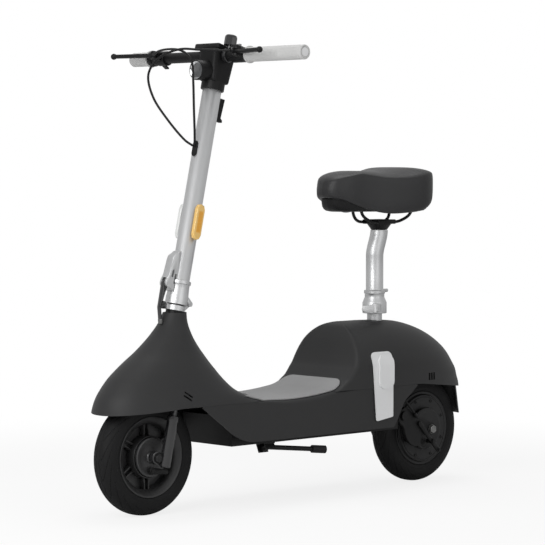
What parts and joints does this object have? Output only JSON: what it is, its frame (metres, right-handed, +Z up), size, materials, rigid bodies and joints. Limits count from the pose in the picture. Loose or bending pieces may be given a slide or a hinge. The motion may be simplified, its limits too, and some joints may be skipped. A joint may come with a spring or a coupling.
{
  "type": "seated electric scooter",
  "caption": "Step-through electric scooter with a moulded body over the wheels, folding stem, handlebar with levers, lamp and bell, and a padded saddle on a height-adjustable post.",
  "frame": {"origin": "on the ground under the middle of the overall length, on the middle plane", "axes": "+X forward, +Y to the rider's left, +Z up"},
  "size_m": [1.1158, 0.5669, 1.0406],
  "materials": {
    "shell": "satin charcoal moulding",
    "black": "satin black",
    "trim": "matte black",
    "rubber": "matte rubber",
    "flap": "matte rubber",
    "cast": "dark cast, satin",
    "silver": "satin silver",
    "steel": "polished",
    "grip": "matte light grey",
    "mat": "matte mid grey",
    "panel": "satin light grey",
    "amber": "clear amber",
    "clear": "clear",
    "leather": "grained black cover",
    "pack": "blue shrink wrap"
  },
  "bodies": {
    "frame": {"main_frame": "black", "battery_pack": "pack", "motor_controller": "cast", "under_tray": "trim", "front_cowl": "shell", "rear_cowl": "shell", "side_skirt_left": "shell", "side_skirt_right": "shell", "deck_plate": "shell", "deck_mat": "mat", "mudflap": "flap", "port_panel": "panel", "stand_bracket": "black", "rear_axle": "cast", "rear_arm_left": "black", "rear_arm_right": "black", "rear_drum_plate": "cast", "rear_cable": "trim"},
    "fork": {"fork_crown": "black", "stem_base": "steel"},
    "fork_slider": {"fork_lowers": "black", "front_drum_plate": "cast"},
    "front_wheel": {"front_rim": "cast", "front_tyre": "rubber"},
    "front_arm": {"front_brake_arm": "black"},
    "rear_wheel": {"rear_hub": "cast", "rear_tyre": "rubber"},
    "rear_arm": {"rear_brake_arm": "black"},
    "stem": {"stem_tube": "silver", "latch_body": "silver", "reflector_left": "amber", "reflector_right": "clear", "cable_port": "trim", "handlebar": "black", "grip_left": "grip", "grip_right": "grip", "head_housing": "trim", "lamp_lens": "clear", "display": "trim", "left_control": "trim", "right_perch": "black", "throttle_body": "trim", "bell": "black", "cable_left": "trim", "cable_right": "trim"},
    "latch": {"latch_lever": "black"},
    "lever_left": {"brake_lever_left": "black"},
    "lever_right": {"brake_lever_right": "black"},
    "paddle": {"throttle_paddle": "trim"},
    "button_a": {"button_first": "panel"},
    "button_b": {"button_second": "panel"},
    "seat": {"seat_post": "silver", "saddle_frame": "black", "saddle_base": "trim", "saddle_cushion": "leather"},
    "seat_lever": {"seat_clamp_lever": "panel"},
    "stand": {"stand_leg": "black"},
    "cap": {"port_cap": "panel"}
  },
  "joints": [
    {"name": "steering", "type": "hinge", "parent": "frame", "child": "fork", "pos_m": [0.43954, 0, 0], "axis": [-0.2221, 0, 0.975], "range_deg": [-35, 35]},
    {"name": "fork_travel", "type": "slide", "parent": "fork", "child": "fork_slider", "axis": [-0.2221, 0, 0.975], "range_m": [0, 0.018], "stiffness_N_per_m": 8000, "springref_m": -0.02},
    {"name": "front_wheel_spin", "type": "hinge", "parent": "fork_slider", "child": "front_wheel", "pos_m": [0.4304, 0, 0.1275], "axis": [0, 1, 0], "continuous": true},
    {"name": "front_brake_arm", "type": "hinge", "parent": "fork_slider", "child": "front_arm", "pos_m": [0.43489, 0, 0.09878], "axis": [0, 1, 0], "range_deg": [0, 16]},
    {"name": "rear_wheel_spin", "type": "hinge", "parent": "frame", "child": "rear_wheel", "pos_m": [-0.4182, 0, 0.1275], "axis": [0, 1, 0], "continuous": true},
    {"name": "rear_brake_arm", "type": "hinge", "parent": "frame", "child": "rear_arm", "pos_m": [-0.4179, 0, 0.098], "axis": [0, 1, 0], "range_deg": [0, 16]},
    {"name": "stem_fold", "type": "hinge", "parent": "fork", "child": "stem", "pos_m": [0.30348, 0, 0.45105], "axis": [0, -1, 0], "range_deg": [0, 28]},
    {"name": "latch_lever", "type": "hinge", "parent": "stem", "child": "latch", "pos_m": [0.36928, 0, 0.49988], "axis": [0, -1, 0], "range_deg": [0, 60]},
    {"name": "left_brake_lever", "type": "hinge", "parent": "stem", "child": "lever_left", "pos_m": [0.24416, 0.095, 1.00018], "axis": [-0.2221, 0, 0.975], "range_deg": [0, 14], "stiffness_Nm_per_rad": 1.5, "springref_deg": -5.73},
    {"name": "right_brake_lever", "type": "hinge", "parent": "stem", "child": "lever_right", "pos_m": [0.24416, -0.178, 1.00018], "axis": [0.2221, 0, -0.975], "range_deg": [0, 14], "stiffness_Nm_per_rad": 1.5, "springref_deg": -5.73},
    {"name": "throttle", "type": "hinge", "parent": "stem", "child": "paddle", "pos_m": [0.21725, 0, 0.99406], "axis": [0, -1, 0], "range_deg": [0, 25], "stiffness_Nm_per_rad": 0.5, "springref_deg": -5.73},
    {"name": "button_first", "type": "slide", "parent": "stem", "child": "button_a", "axis": [0.2221, 0, -0.975], "range_m": [0, 0.002], "stiffness_N_per_m": 300, "springref_m": -0.001},
    {"name": "button_second", "type": "slide", "parent": "stem", "child": "button_b", "axis": [0.2221, 0, -0.975], "range_m": [0, 0.002], "stiffness_N_per_m": 300, "springref_m": -0.001},
    {"name": "seat_height", "type": "slide", "parent": "frame", "child": "seat", "axis": [0, 0, 1], "range_m": [-0.01, 0.06]},
    {"name": "seat_clamp_lever", "type": "hinge", "parent": "seat", "child": "seat_lever", "pos_m": [-0.2499, 0.033, 0.421], "axis": [0, 0, 1], "range_deg": [0, 100]},
    {"name": "side_stand", "type": "hinge", "parent": "frame", "child": "stand", "pos_m": [0.1241, 0.06, 0.128], "axis": [0, -0.9135, -0.4067], "range_deg": [0, 98]},
    {"name": "port_cap", "type": "hinge", "parent": "frame", "child": "cap", "pos_m": [-0.2, 0.1076, 0.3204], "axis": [1, 0, 0], "range_deg": [0, 100]}
  ],
  "couplings": [
    {"joint": "front_brake_arm", "follows": "right_brake_lever", "ratio": 1},
    {"joint": "rear_brake_arm", "follows": "left_brake_lever", "ratio": 1}
  ]
}
